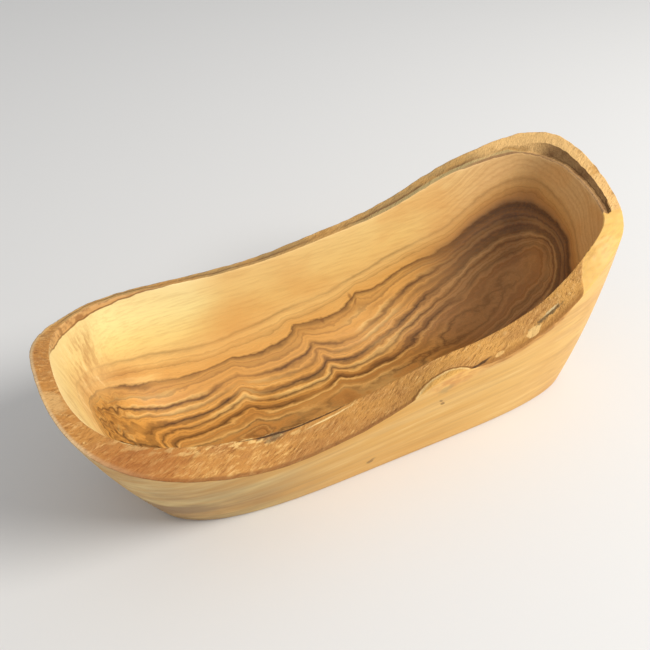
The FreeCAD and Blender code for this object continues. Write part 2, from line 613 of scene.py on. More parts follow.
# Dark lines in the figure: ring, strength, and how far each fades towards the bark and the heart
dark_lines = (
    (22.5, 0.40, 0.60, 1.20),
    (26.2, 0.20, 1.00, 0.60),
    (29.0, 0.80, 0.50, 1.20),
    (31.2, 0.40, 1.10, 0.40),
    (33.6, 0.95, 0.80, 1.00),
    (35.4, 0.60, 0.90, 0.50),
    (37.3, 1.00, 0.90, 1.40),
    (39.2, 0.85, 0.60, 0.60),
    (41.6, 0.90, 1.30, 0.60),
    (43.4, 0.40, 0.45, 0.80),
    (44.9, 0.75, 1.00, 0.60),
    (46.4, 0.42, 0.40, 0.80),
    (47.8, 0.55, 0.80, 0.50),
    (49.6, 0.45, 0.50, 0.80),
    (51.4, 0.45, 0.60, 0.60),
)
lines_from = 20.0
least_stop_gap = 0.001
line_colour = "4f2e12"
line_fading = Grain((38, 75, 75), (7, 1, 4), 1)
line_fade = (0.32, 0.55, 0.35, 1.0)
line_fade_in_heart = (0.0, 0.6, 1.0, 0.6)
line_relief = 0.5
small_line_colour = "8c5c2a"
small_line_scale = 1.7
small_line_detail = 3
small_line_fade = (0.5, 0.68)
small_line_rings = (20.0, 30.0, 0.05, 0.4)

# How the rings waver, by how many rings in all. The floor's waver more, and the low end's curl
broad_noise = Grain((40, 100, 100))
broad_waver = 2.8
close_noise = Grain((150, 330, 330), (3, 5, 9), 4, 0.62)
close_waver = 1.9
floor_waver_rings = (41.0, 47.0, 1.0, 1.9)
curl_noise = Grain((190, 200, 200), (4, 7, 3), 1)
curl_waver = 9.0
curl_x = (-67.0, -73.0)
curl_rings = (28.0, 32.0)

# Paler and darker strips between the lines
strip_scale = 0.55
strip_detail = 1
pale_strip_colour = "fbd181"
pale_strip_fade = (0.42, 0.66)
pale_noise = Grain((26, 70, 70), (1, 8, 2))
pale_fade = (0.42, 0.6)
pale_rings = (20.0, 27.0)
pale_floor_rings = (47.0, 42.0, 0.25, 1.0)
pale_x = (8.0, 36.0, 1.0, 0.35)
pale_strength = 0.85
shadow_colour = "96642f"
shadow_strip_fade = (0.52, 0.4)
shadow_noise = Grain((24, 80, 80), (5, 3, 6), 3)
shadow_fade = (0.4, 0.62)
shadow_rings = (24.0, 30.0)
shadow_x = (-40.0, 35.0, 0.15, 0.62)

# The sapwood is pale at the low end, honey along the middle, and banded tan at the tall end
sapwood_rings = (27.0, 19.0)
sapwood_honey = "ecb96b"
honey_x = (-47.0, -29.0, 0.0, 0.64)
sapwood_tan = "e2b57c"
tan_x = (30.0, 72.0, 0.0, 0.75)
band_colour = "bd8750"
band_scale = 0.6
band_detail = 2
band_fade = (0.42, 0.62)
band_x = (25.0, 60.0, 0.0, 0.3)
amber_colour = "dfa055"
amber_noise = Grain((34, 60, 60), (5, 5, 8), 3)
amber_fade = (0.45, 0.68, 0.0, 0.42)
amber_x = (-40.0, 0.0, 0.15, 1.0)

# The dark heart of the tall end by ring, the brown haze round it, and the smoke over its top: dark
# heartwood with painted shade in it
heart_tones = (
    (24.0, "c8a070"),
    (27.4, "98724e"),
    (28.8, "5c4536"),
    (30.2, "42332c"),
    (31.4, "866549"),
    (32.4, "544034"),
    (33.8, "b89264"),
    (35.0, "775a43"),
    (36.4, "66503c"),
    (38.0, "cba471"),
    (39.4, "926e4a"),
    (41.0, "cda672"),
    (43.0, "ac8258"),
    (45.0, "caa06c"),
    (48.0, "c09460"),
)
heart_tones_from = 22.0
heart_tones_to = 50.0
heart_shown_rings = (25.5, 29.5, 0.0, 0.84)
haze_colour = "c0884d"
haze_rings = (18.5, 27.5, 0.0, 0.8)
smoke_colour = "62473a"
smoke_noise = Grain((45, 110, 110), (9, 2, 7))
smoke_fade = (0.42, 0.62, 0.0, 0.36)
smoke_z = (22.0, 32.0)
smoke_rings = (28.0, 33.0)

# The low end's corner has painted shade under its wall, and the turn of its rings is stained
corner_shade_colour = "bf8646"
corner_x = (-60.0, -70.0)
corner_first_rings = (22.5, 25.5)
corner_last_rings = (31.0, 28.5)
corner_y = (2.0, 10.0, 0.1, 0.5)
stain_colour = "76481f"
stain_x = (-69.0, -73.5)
stain_rings = (28.5, 32.5)
stain_fade = (0.42, 0.6, 0.2, 0.6)

# Fine streaks along the grain
streak_colour = "b9803f"
streak_noise = Grain((80, 1200, 1200), detail=3, roughness=0.6)
streak_fade = (0.42, 0.7, 0.0, 0.18)

# Outside, seen along the rings: long soft streaks, brighter towards the tall end by painted light,
# and greyer and darker low down at the low end, grey wood with painted shade over it, with a finer
# grain over them
outside_colour = "dea956"
long_streak_noise = Grain((14, 60, 190), (2, 4, 1), 4, 0.62)
long_streak_fade = (0.32, 0.66, 0.35, 1.0)
outside_painted_light = "ffdc92"
painted_light_x = (0.0, 60.0, 0.0, 0.6)
painted_light_fade = (0.4, 0.6)
outside_noise = Grain((26, 260, 560), (6, 3, 2), 3, 0.6)
outside_dark_streak = "b98546"
outside_dark_fade = (0.47, 0.68, 0.0, 0.28)
outside_light_streak = "fde0a0"
outside_light_fade = (0.45, 0.3, 0.0, 0.28)
outside_grey_and_shade = "8f6d48"
grey_shade_x = (-10.0, -80.0, 0.0, 0.9)
grey_shade_z = (40.0, 14.0, 0.25, 1.0)
grey_noise = Grain((60, 60, 130), (6, 6, 1), 3)
grey_fade = (0.3, 0.6, 0.4, 1.0)


def line_stops(lines, low, high):
    """Ramp stops that rise to each line's strength at its ring and fall again."""
    stops = [(0.0, 0.0)]
    for ring, strength, before, after in lines:
        for at, value in ((ring - before, 0.0), (ring, strength), (ring + after, 0.0)):
            place = (at - low) / (high - low)
            stops.append((max(stops[-1][0] + least_stop_gap, place), value))
    return stops


def dark_line_mask(bench, ring):
    """The dark lines by ring, from two ramps, because one hasn't room for all their stops."""
    half = len(dark_lines) // 2
    turn = (dark_lines[half - 1][0] + dark_lines[half][0]) / 2
    parts = []
    for lines, low, high in (
        (dark_lines[:half], lines_from, turn),
        (dark_lines[half:], turn, ring_span),
    ):
        share = bench.math("DIVIDE", bench.math("SUBTRACT", ring, low), high - low)
        parts.append(bench.ramp(share, line_stops(lines, low, high)))
    return bench.math("MAXIMUM", *parts)


def figure_group():
    """The wood's figure: its tone by ring, dark growth lines, dark heart and fine streaks."""
    # The dark heart is partly the heartwood's own colour and partly painted shade
    tree, bench, given, wanted = new_group(
        "wood_figure",
        ("Ring", "Heart", "Outside"),
        (("Color", "NodeSocketColor"), ("Height", "NodeSocketFloat")),
    )
    heart, outside = given["Heart"], given["Outside"]
    x, y, z = bench.millimetres()
    close = bench.grain(close_noise)
    waver = bench.waver(bench.grain(broad_noise), broad_waver)
    waver = bench.math("ADD", waver, bench.waver(close, close_waver))
    waver = bench.product(waver, bench.remap(given["Ring"], *floor_waver_rings))
    curls = bench.product(
        bench.waver(bench.grain(curl_noise), curl_waver),
        bench.remap(x, *curl_x),
        bench.remap(given["Ring"], *curl_rings),
        bench.remap(outside, 1.0, 0.0),
    )
    ring = bench.math("ADD", given["Ring"], bench.math("ADD", waver, curls))
    share = bench.math("DIVIDE", ring, ring_span)
    tone = bench.ramp(share, [(at / ring_span, shade(colour)) for at, colour in wood_tones])
    # The sapwood
    sapwood = bench.remap(ring, *sapwood_rings)
    tone = bench.paint(tone, sapwood_honey, sapwood, bench.remap(x, *honey_x))
    tone = bench.paint(tone, sapwood_tan, sapwood, bench.remap(x, *tan_x))
    bands = bench.remap(bench.line_noise(ring, band_scale, band_detail), *band_fade)
    tone = bench.paint(tone, band_colour, bands, sapwood, bench.remap(x, *band_x))
    amber = bench.remap(bench.grain(amber_noise), *amber_fade)
    tone = bench.paint(tone, amber_colour, amber, sapwood, bench.remap(x, *amber_x))
    # The strips
    strips = bench.line_noise(ring, strip_scale, strip_detail)
    tone = bench.paint(
        tone,
        pale_strip_colour,
        bench.remap(strips, *pale_strip_fade),
        bench.remap(bench.grain(pale_noise), *pale_fade),
        bench.remap(ring, *pale_floor_rings),
        bench.remap(ring, *pale_rings),
        bench.remap(x, *pale_x),
        pale_strength,
    )
    tone = bench.paint(
        tone,
        shadow_colour,
        bench.remap(strips, *shadow_strip_fade),
        bench.remap(bench.grain(shadow_noise), *shadow_fade),
        bench.remap(ring, *shadow_rings),
        bench.remap(x, *shadow_x),
    )
    # The dark heart: dark heartwood with painted shade in it
    tone = bench.paint(tone, haze_colour, heart, bench.remap(ring, *haze_rings))
    span = heart_tones_to - heart_tones_from
    share = bench.math("DIVIDE", bench.math("SUBTRACT", ring, heart_tones_from), span)
    stops = [((at - heart_tones_from) / span, shade(colour)) for at, colour in heart_tones]
    shown = bench.product(heart, bench.remap(ring, *heart_shown_rings))
    tone = bench.mix(shown, tone, bench.ramp(share, stops))
    tone = bench.paint(
        tone,
        smoke_colour,
        bench.remap(bench.grain(smoke_noise), *smoke_fade),
        heart,
        bench.remap(z, *smoke_z),
        bench.remap(ring, *smoke_rings),
    )
    # The low end: painted shade in its corner, and the stain where its rings turn
    tone = bench.paint(
        tone,
        corner_shade_colour,
        bench.remap(x, *corner_x),
        bench.remap(ring, *corner_first_rings),
        bench.remap(ring, *corner_last_rings),
        bench.remap(y, *corner_y),
    )
    stain = bench.product(bench.remap(x, *stain_x), bench.remap(ring, *stain_rings))
    tone = bench.paint(tone, stain_colour, stain, bench.remap(close, *stain_fade))
    # The lines, and the streaks over them
    lines = bench.product(
        dark_line_mask(bench, ring),
        bench.remap(bench.grain(line_fading), *line_fade),
        bench.remap(heart, *line_fade_in_heart),
    )
    small = bench.line_noise(ring, small_line_scale, small_line_detail)
    small = bench.remap(small, *small_line_fade)
    tone = bench.paint(tone, small_line_colour, small, bench.remap(ring, *small_line_rings))
    tone = bench.paint(tone, line_colour, lines)
    streak = bench.grain(streak_noise)
    tone = bench.paint(tone, streak_colour, bench.remap(streak, *streak_fade))
    # The outside: painted light towards the tall end, and grey wood with painted shade low at the
    # low end
    long_streak = bench.grain(long_streak_noise)
    outer = bench.paint(tone, outside_colour, bench.remap(long_streak, *long_streak_fade))
    painted_light = bench.product(bench.remap(x, *painted_light_x), long_streak)
    outer = bench.paint(outer, outside_painted_light, painted_light, bench.remap(long_streak, *painted_light_fade))
    fine = bench.grain(outside_noise)
    outer = bench.paint(outer, outside_dark_streak, bench.remap(fine, *outside_dark_fade))
    outer = bench.paint(outer, outside_light_streak, bench.remap(fine, *outside_light_fade))
    grey = bench.product(bench.remap(x, *grey_shade_x), bench.remap(z, *grey_shade_z))
    outer = bench.paint(outer, outside_grey_and_shade, grey, bench.remap(bench.grain(grey_noise), *grey_fade))
    bench.feed(wanted["Color"], bench.mix(outside, tone, outer))
    relief = bench.math("SUBTRACT", streak, bench.product(lines, line_relief))
    bench.feed(wanted["Height"], relief)
    return tree


def add_group(bench, tree, **values):
    """A group placed in a material with its own values."""
    node = bench.add("ShaderNodeGroup", node_tree=tree)
    for name, value in values.items():
        bench.feed(node.inputs[name], value)
    return node.outputs


def new_material(name):
    material = bpy.data.materials.new(name)
    material.use_nodes = True
    shader = material.node_tree.nodes["Principled BSDF"]
    return material, Bench(material.node_tree), shader


# How ragged the marks' edges are broken
ragged_noise = Grain((500, 900, 900), detail=3)


def spot_group():
    """How far out a point lies from a spot's middle: 1 is the spot's edge.

    The spot is seen from above where Side is 0 and from the side where it is 1.
    """
    tree, bench, given, wanted = new_group(
        "spot_distance",
        ("X", "Y", "Long", "Wide", "Slope", "Wobble", "Side"),
        (("Distance", "NodeSocketFloat"),),
    )
    x, y, z = bench.millimetres()
    other = bench.math("MULTIPLY_ADD", bench.math("SUBTRACT", z, y), given["Side"], y)
    from_x = bench.math("SUBTRACT", x, given["X"])
    from_y = bench.math("SUBTRACT", other, given["Y"])
    from_y = bench.math("SUBTRACT", from_y, bench.product(from_x, given["Slope"]))
    along = bench.math("POWER", bench.math("DIVIDE", from_x, given["Long"]), 2)
    across = bench.math("POWER", bench.math("DIVIDE", from_y, given["Wide"]), 2)
    distance = bench.math("SQRT", bench.math("ADD", along, across))
    ragged = bench.product(bench.waver(bench.grain(ragged_noise), 1.0), given["Wobble"])
    bench.feed(wanted["Distance"], bench.math("ADD", distance, ragged))
    return tree


# Marks on the wood, in millimetres: place, half length, half width, how much they climb for each
# millimetre along, how ragged and how soft their edges are, and their strength and colour. Those
# on the rim and in the hollow are seen from above
Mark = namedtuple("Mark", "x y long wide slope wobble soft strength colour")
red_patch = Mark(-74.0, -31.6, 10.0, 5.0, 0.0, 1.2, 1.0, 0.55, "a8622a")
grey_patch = Mark(-40.5, -28.3, 4.0, 0.8, 0.1, 3.0, 1.1, 0.75, "66503a")
pale_chip = Mark(40.3, -30.9, 2.7, 1.0, 0.15, 0.9, 0.3, 0.95, "f6c980")
small_chip = Mark(27.5, -32.0, 1.8, 0.5, 0.15, 0.9, 0.4, 0.8, "f0c076")
grey_crack = Mark(46.6, -29.2, 4.4, 0.45, 0.12, 3.4, 1.2, 0.85, "6a5636")
crack_thread = Mark(47.4, -28.7, 2.8, 0.22, 0.12, 2.4, 0.9, 0.8, "eacf98")
scratched_patch = Mark(-87.6, -15.2, 2.2, 3.0, 0.0, 1.0, 1.0, 0.6, "e3b878")
inner_sliver = Mark(-25.0, -28.2, 6.0, 0.16, 0.10, 0.9, 0.8, 0.8, "ffdf9c")
inner_line = Mark(-34.0, -27.7, 15.0, 0.22, 0.06, 0.5, 0.5, 0.9, "4e3218")
rim_marks = (
    red_patch,
    grey_patch,
    pale_chip,
    small_chip,
    grey_crack,
    crack_thread,
    scratched_patch,
    inner_sliver,
    inner_line,
)
knot_lobe = Mark(7.5, -36.5, 11.5, 4.5, 0.0, 0.10, 0.10, 1.0, "efb45e")
knot_crack = Mark(20.3, -32.9, 4.0, 0.35, 0.25, 0.8, 0.6, 0.9, "4e3218")
# Ends of small twigs in the hollow's far wall
twigs = (
    Mark(-1.8, 21.8, 0.6, 0.55, -0.4, 1.0, 1.3, 0.55, "7a4c22"),
    Mark(9.9, 23.6, 0.7, 0.5, -0.5, 1.0, 1.3, 0.55, "7a4c22"),
    Mark(11.4, 22.7, 0.6, 0.4, 0.6, 1.0, 1.3, 0.55, "7a4c22"),
)
# A honey-brown cloud in the hollow's far wall, seen from the side
far_wall_cloud = Mark(-33.0, 28.0, 12.0, 6.5, 0.1, 0.5, 1.6, 0.4, "dc9a4c")
cloud_y = (15.0, 20.0)
# Marks on the near side's outside, seen from the side
knot_amber = Mark(12.5, 34.4, 9.5, 3.4, 0.05, 0.7, 1.2, 0.85, "f3bf6a")
knot_grey = Mark(8.3, 31.4, 2.3, 1.3, 0.0, 2.6, 1.3, 0.45, "a58e5c")
knot_speck = Mark(8.9, 24.7, 0.8, 0.6, -0.4, 1.2, 0.9, 0.8, "86602f")
knot_speck_two = Mark(8.0, 26.4, 0.7, 0.45, -0.6, 1.2, 0.9, 0.7, "8b6336")
low_speck = Mark(-12.3, 7.7, 1.2, 1.2, 0.4, 1.9, 0.9, 0.75, "8f6736")
outside_marks = (knot_grey, knot_speck, knot_speck_two, low_speck)
near_side_y = (-19.0, -21.0)

# The gloss of both finishes
wood_gloss = 0.3

# The scraped low end's wall: tan, with fine fibres that stand up it and shine
low_wall_x = (-68.0, -78.0)
low_wall_rings = (33.0, 25.0)
low_wall_tan = "e9c788"
low_wall_strength = 0.6
standing_noise = Grain((520, 460, 36), (2, 9, 4), 4, 0.7)
standing_fading = Grain((90, 60, 40), (1, 1, 5))
standing_fade = (0.42, 0.68, 0.0, 0.85)
standing_fading_fade = (0.3, 0.65, 0.2, 1.0)
standing_drop = (2.0, 9.0, 0.15, 1.0)
standing_colour = "b98850"
shine_fade = (0.44, 0.32, 0.0, 0.5)
shine_colour = "ffe3a8"

# The rim's brown comes down over the far wall's top at the low end, to a scalloped edge
bite_noise = Grain((110, 110, 20), (8, 3, 5), 3)
bite_waver = 2.4
brown_reach_x = (-38.0, -82.0, -0.6, 2.6)
brown_reach_y = (-2.0, 14.0)
brown_edge = (0.15, -0.15)
brown_drop = (0.0, 0.02)
brown_x = (-36.0, -44.0)
brown_y = (-2.0, 10.0)
brown_fibres = Grain((260, 700, 700), detail=3)
brown_fibre_fade = (0.35, 0.6)
brown_dark = "a87a48"
brown_light = "d5a568"
brown_line_above = (-0.45, -0.1)
brown_line_below = (0.3, 0.05)
brown_line_strength = 0.75
brown_line_colour = "7d5228"
brown_line_relief = 0.8

# By the knot the rim's brown also comes down over the outer edge
stripe_from_x = (17.0, 23.0)
stripe_to_x = (58.0, 50.0)
stripe_reach = 2.9
stripe_lift = -0.9
stripe_bites = 0.35
stripe_edge = (0.3, -0.3)
stripe_strength = 0.85
stripe_dark = "ad7434"
stripe_light = "d1974e"
knot_amber_dark = "cf8a45"
knot_amber_fade = (0.35, 0.65, 0.1, 0.8)

smooth_bump_strength = 0.15
smooth_bump_distance = 0.0003
smooth_roughness = (0.1, 0.7, 0.6, 0.48)


def mark_mask(bench, spot, mark, side=0.0):
    """Where a mark is, and how far from its middle each point lies."""
    values = dict(X=mark.x, Y=mark.y, Long=mark.long, Wide=mark.wide, Slope=mark.slope)
    found = add_group(bench, spot, Wobble=mark.wobble, Side=side, **values)["Distance"]
    return bench.remap(found, 1.0 + mark.soft / 2, 1.0 - mark.soft / 2), found


def tint(bench, spot, tone, mark, *masks, side=0.0):
    """A mark's colour over a tone, where the masks are too."""
    inside, _ = mark_mask(bench, spot, mark, side)
    return bench.paint(tone, mark.colour, inside, *masks, mark.strength)


def smooth_wood(figure, spot):
    """The planed outside and the scraped hollow."""
    material, bench, shader = new_material("smooth_olive_wood")
    x, y, _ = bench.millimetres()
    ring, drop, outside = (bench.attribute(name) for name in ("ring", "drop", "outside"))
    in_hollow = bench.remap(outside, 1.0, 0.0)
    # The heart value darkens the tall end's hollow: its heartwood stain and painted shade
    wood = add_group(bench, figure, Ring=ring, Heart=bench.attribute("heart"), Outside=outside)
    tone = wood["Color"]
    for twig in twigs:
        tone = tint(bench, spot, tone, twig, in_hollow)
    by_far_wall = bench.remap(y, *cloud_y)
    tone = tint(bench, spot, tone, far_wall_cloud, by_far_wall, in_hollow, side=1.0)
    # The low end's wall
    low_wall = bench.product(
        bench.remap(x, *low_wall_x), bench.remap(ring, *low_wall_rings), in_hollow
    )
    tone = bench.paint(tone, low_wall_tan, low_wall, low_wall_strength)
    standing = bench.grain(standing_noise)
    tone = bench.paint(
        tone,
        standing_colour,
        bench.remap(standing, *standing_fade),
        bench.remap(bench.grain(standing_fading), *standing_fading_fade),
        bench.remap(drop, *standing_drop),
        low_wall,
    )
    tone = bench.paint(tone, shine_colour, bench.remap(standing, *shine_fade), low_wall)
    # The brown at the far wall's top, and the line along its edge
    bites = bench.waver(bench.grain(bite_noise), bite_waver)
    reach = bench.product(bench.remap(x, *brown_reach_x), bench.remap(y, *brown_reach_y))
    below = bench.math("SUBTRACT", drop, bench.math("ADD", reach, bites))
    over = bench.product(
        bench.remap(below, *brown_edge),
        bench.remap(drop, *brown_drop),
        bench.remap(x, *brown_x),
        bench.remap(y, *brown_y),
    )
    fibres = bench.grain(brown_fibres)
    fibre_mask = bench.remap(fibres, *brown_fibre_fade)
    tone = bench.mix(over, tone, bench.mix(fibre_mask, shade(brown_dark), shade(brown_light)))
    line = bench.product(
        bench.remap(below, *brown_line_above),
        bench.remap(below, *brown_line_below),
        bench.remap(x, *brown_x),
        bench.remap(y, *brown_y, 0.0, brown_line_strength),
        in_hollow,
    )
    tone = bench.paint(tone, brown_line_colour, line)
    # The outer edge by the knot
    near = bench.product(bench.remap(y, *near_side_y), outside)
    reach = bench.product(bench.remap(x, *stripe_from_x), bench.remap(x, *stripe_to_x))
    reach = bench.math("MULTIPLY_ADD", reach, stripe_reach, stripe_lift)
    reach = bench.math("MULTIPLY_ADD", bites, stripe_bites, reach)
    edge = bench.remap(bench.math("SUBTRACT", drop, reach), *stripe_edge)
    stripe = bench.mix(fibre_mask, shade(stripe_dark), shade(stripe_light))
    tone = bench.mix(bench.product(edge, near, stripe_strength), tone, stripe)
    amber = bench.remap(fibres, *knot_amber_fade)
    amber = bench.mix(amber, shade(knot_amber.colour), shade(knot_amber_dark))
    inside, _ = mark_mask(bench, spot, knot_amber, side=1.0)
    tone = bench.mix(bench.product(inside, near, knot_amber.strength), tone, amber)
    for mark in outside_marks:
        tone = tint(bench, spot, tone, mark, near, side=1.0)
    bench.feed(shader.inputs["Base Color"], tone)
    relief = bench.math("SUBTRACT", wood["Height"], bench.product(line, brown_line_relief))
    bump = bench.bump(relief, smooth_bump_strength, smooth_bump_distance)
    bench.feed(shader.inputs["Normal"], bump)
    bench.feed(shader.inputs["Roughness"], bench.remap(wood["Height"], *smooth_roughness))
    shader.inputs["Specular IOR Level"].default_value = wood_gloss
    return material


# The rim's fibres and mottling
stroke_noise = Grain((260, 1500, 1100), (0, 0, 0), 4, 0.65, 24)
fibre_noise = Grain((500, 3200, 2400), (0, 0, 0), 3, 0.65, 32)
fleck_noise = Grain((300, 1100, 900), (4, 2, 8), 3, 0.5, 10)
mottle_noise = Grain((55, 160, 160), (2, 2, 7), 3)
broken_noise = Grain((180, 420, 420), (3, 1, 6))
rim_brown = "c28440"
rim_light = "e2a858"
rim_light_x = (-60.0, 45.0, 0.15, 0.95)
mottle_colour = "a97242"
mottle_fade = (0.45, 0.65, 0.0, 0.4)
broken_fade = (0.36, 0.6, 0.25, 1.0)
stroke_light = "eab873"
stroke_light_fade = (0.5, 0.68, 0.0, 0.7)
rim_dark = "95602c"
stroke_dark_fade = (0.48, 0.34, 0.0, 0.7)
fibre_dark_fade = (0.46, 0.3, 0.0, 0.4)
rim_gold = "f2c67c"
gold_fleck_fade = (0.6, 0.74)
gold_fibre_fade = (0.4, 0.62, 0.1, 0.85)

# Gold fibres and pale chips along the near side of the low half
near_gold = "efbd70"
near_gold_from_x = (-82.0, -72.0)
near_gold_to_x = (-28.0, -42.0)
near_gold_y = (-18.0, -24.0)
near_gold_fleck_fade = (0.49, 0.66)
near_gold_fibre_fade = (0.36, 0.58, 0.05, 0.5)
chip_colour = "f0c67e"
chip_across = (0.9, 1.6)
chip_from_x = (-82.0, -74.0)
chip_to_x = (-30.0, -38.0)
chip_y = (-18.0, -23.0)
chip_fade = (0.47, 0.58)
chip_strength = 0.8

# The rim's outer edge: brown, with a pale painted highlight along it round the low end, and
# reddish by the knot
edge_colour = "84532a"
edge_across = (0.14, 0.02)
edge_strength = 0.6
lit_edge_colour = "dcbb8c"
lit_edge_across = (0.3, 0.05)
lit_edge_x = (-70.0, -84.0)
lit_edge_strength = 0.8
red_stripe_colour = "b07836"
red_stripe_across = (0.38, 0.2)
red_stripe_x = (17.0, 24.0)
red_stripe_y = (-15.0, -22.0, 0.0, 0.6)

# The knot's lobe: amber wood, a lit line inside its edge and a dark arch over it
lobe_fade = (0.4, 0.62, 0.45, 0.95)
lobe_lit_colour = "f8d594"
lobe_lit_from = (0.8, 0.9)
lobe_lit_to = (0.98, 0.92)
lobe_lit_strength = 0.7
arch_colour = "80501f"
arch_from = (0.93, 1.0)
arch_to = (1.12, 1.03)
arch_strength = 0.75

# The far side: greyer, with a dark line, a pale inner strip and a golden outer edge
far_grey = "b3945f"
far_grey_y = (5.0, 24.0)
far_grey_fade = (0.3, 0.6, 0.2, 0.7)
far_side_y = (12.0, 24.0)
far_line_colour = "7d5a34"
far_line_from = (0.6, 0.95)
far_line_to = (1.2, 1.0)
far_line_fade = (0.35, 0.55, 0.2, 0.8)
far_strip_colour = "b7a472"
far_strip_across = (1.0, 1.25)
far_strip_x = (5.0, 40.0, 0.1, 0.75)
far_gold = "e2b26c"
far_gold_across = (0.5, 0.1)
far_gold_y = (0.0, 20.0, 0.0, 0.7)
far_gold_fade = (0.4, 0.6, 0.2, 1.0)

# The tall end: a pale crest, a tan ledge and a dark riser between them. The ledge's tan is painted
# shade over pale wood; the riser is dark bark, darkened further with painted shade
crest_colour = "ffce86"
crest_x = (58.0, 74.0)
crest_fibre_fade = (0.3, 0.55, 0.6, 0.95)
crest_mottle_fade = (0.4, 0.52, 0.2, 1.0)
ledge_shade_colour = "ab8256"
ledge_x = (50.0, 66.0)
ledge_across = (1.6, 1.8)
ledge_y = (-13.4, -12.6)
riser_bark_and_shade = "6b4526"
riser_from = (0.97, 1.0)
riser_to = (1.8, 1.55)
riser_fade = (0.35, 0.6, 0.92, 0.75)
riser_x = (58.0, 70.0)
riser_near_y = (-14.2, -13.7)
riser_far_y = (28.0, 17.0)

# The sanded shoulder: its limit's place along at one place across, how that leans, and where it
# ends at the ledge
sanded_x = 57.3
sanded_y = -30.0
sanded_slope = 0.7
sanded_waver = 3.0
sanded_edge = (-0.3, 0.5)
sanded_end_y = (-12.9, -13.5)
sanded_colour = "f3c068"
sanded_fade = (0.35, 0.6, 0.3, 0.9)

rim_fibre_relief = 0.6
rim_bump_strength = 0.8
rim_bump_distance = 0.0008
rim_roughness = (0.0, 1.0, 0.7, 0.5)


def low_rim_tones(bench, tone, x, y, across, flecks, fibres):
    """Gold, chips and a painted highlight over the rim, along its low half and its outer edge."""
    tone = bench.paint(
        tone,
        near_gold,
        bench.remap(x, *near_gold_from_x),
        bench.remap(x, *near_gold_to_x),
        bench.remap(y, *near_gold_y),
        bench.remap(flecks, *near_gold_fleck_fade),
        bench.remap(fibres, *near_gold_fibre_fade),
    )
    tone = bench.paint(tone, edge_colour, bench.remap(across, *edge_across), edge_strength)
    # A pale painted highlight along the outer edge round the low end
    lit_edge = bench.product(bench.remap(across, *lit_edge_across), bench.remap(x, *lit_edge_x))
    tone = bench.paint(tone, lit_edge_colour, lit_edge, lit_edge_strength)
    tone = bench.paint(
        tone,
        chip_colour,
        bench.remap(across, *chip_across),
        bench.remap(x, *chip_from_x),
        bench.remap(x, *chip_to_x),
        bench.remap(y, *chip_y),
        bench.remap(flecks, *chip_fade),
        chip_strength,
    )
    stripe = bench.product(bench.remap(across, *red_stripe_across), bench.remap(x, *red_stripe_x))
    return bench.paint(tone, red_stripe_colour, stripe, bench.remap(y, *red_stripe_y))


def far_rim_tones(bench, tone, x, y, across, flecks, mottle):
    """The far side's grey, line, strip and golden edge over the rim's tone."""
    far = bench.product(bench.remap(y, *far_grey_y), bench.remap(mottle, *far_grey_fade))
    tone = bench.paint(tone, far_grey, far)
    far_side = bench.remap(y, *far_side_y)
    line = bench.product(bench.remap(across, *far_line_from), bench.remap(across, *far_line_to))
    tone = bench.paint(tone, far_line_colour, line, bench.remap(mottle, *far_line_fade), far_side)
    strip = bench.product(bench.remap(across, *far_strip_across), far_side)
    tone = bench.paint(tone, far_strip_colour, strip, bench.remap(x, *far_strip_x))
    edge = bench.product(bench.remap(across, *far_gold_across), bench.remap(y, *far_gold_y))
    return bench.paint(tone, far_gold, edge, bench.remap(flecks, *far_gold_fade))


def tall_end_tones(bench, tone, x, y, across, fibres, mottle):
    """The tall end's crest, and its ledge and riser in painted shade, over the rim's tone."""
    crest = bench.product(bench.remap(x, *crest_x), bench.remap(fibres, *crest_fibre_fade))
    tone = bench.paint(tone, crest_colour, crest, bench.remap(mottle, *crest_mottle_fade))
    # The ledge's tan is painted shade over pale wood; the riser is dark bark with painted shade
    ledge = bench.product(bench.remap(x, *ledge_x), bench.remap(across, *ledge_across))
    tone = bench.paint(tone, ledge_shade_colour, ledge, bench.remap(y, *ledge_y))
    return bench.paint(
        tone,
        riser_bark_and_shade,
        bench.remap(across, *riser_from),
        bench.remap(across, *riser_to),
        bench.remap(mottle, *riser_fade),
        bench.remap(x, *riser_x),
        bench.remap(y, *riser_near_y),
        bench.remap(y, *riser_far_y),
    )


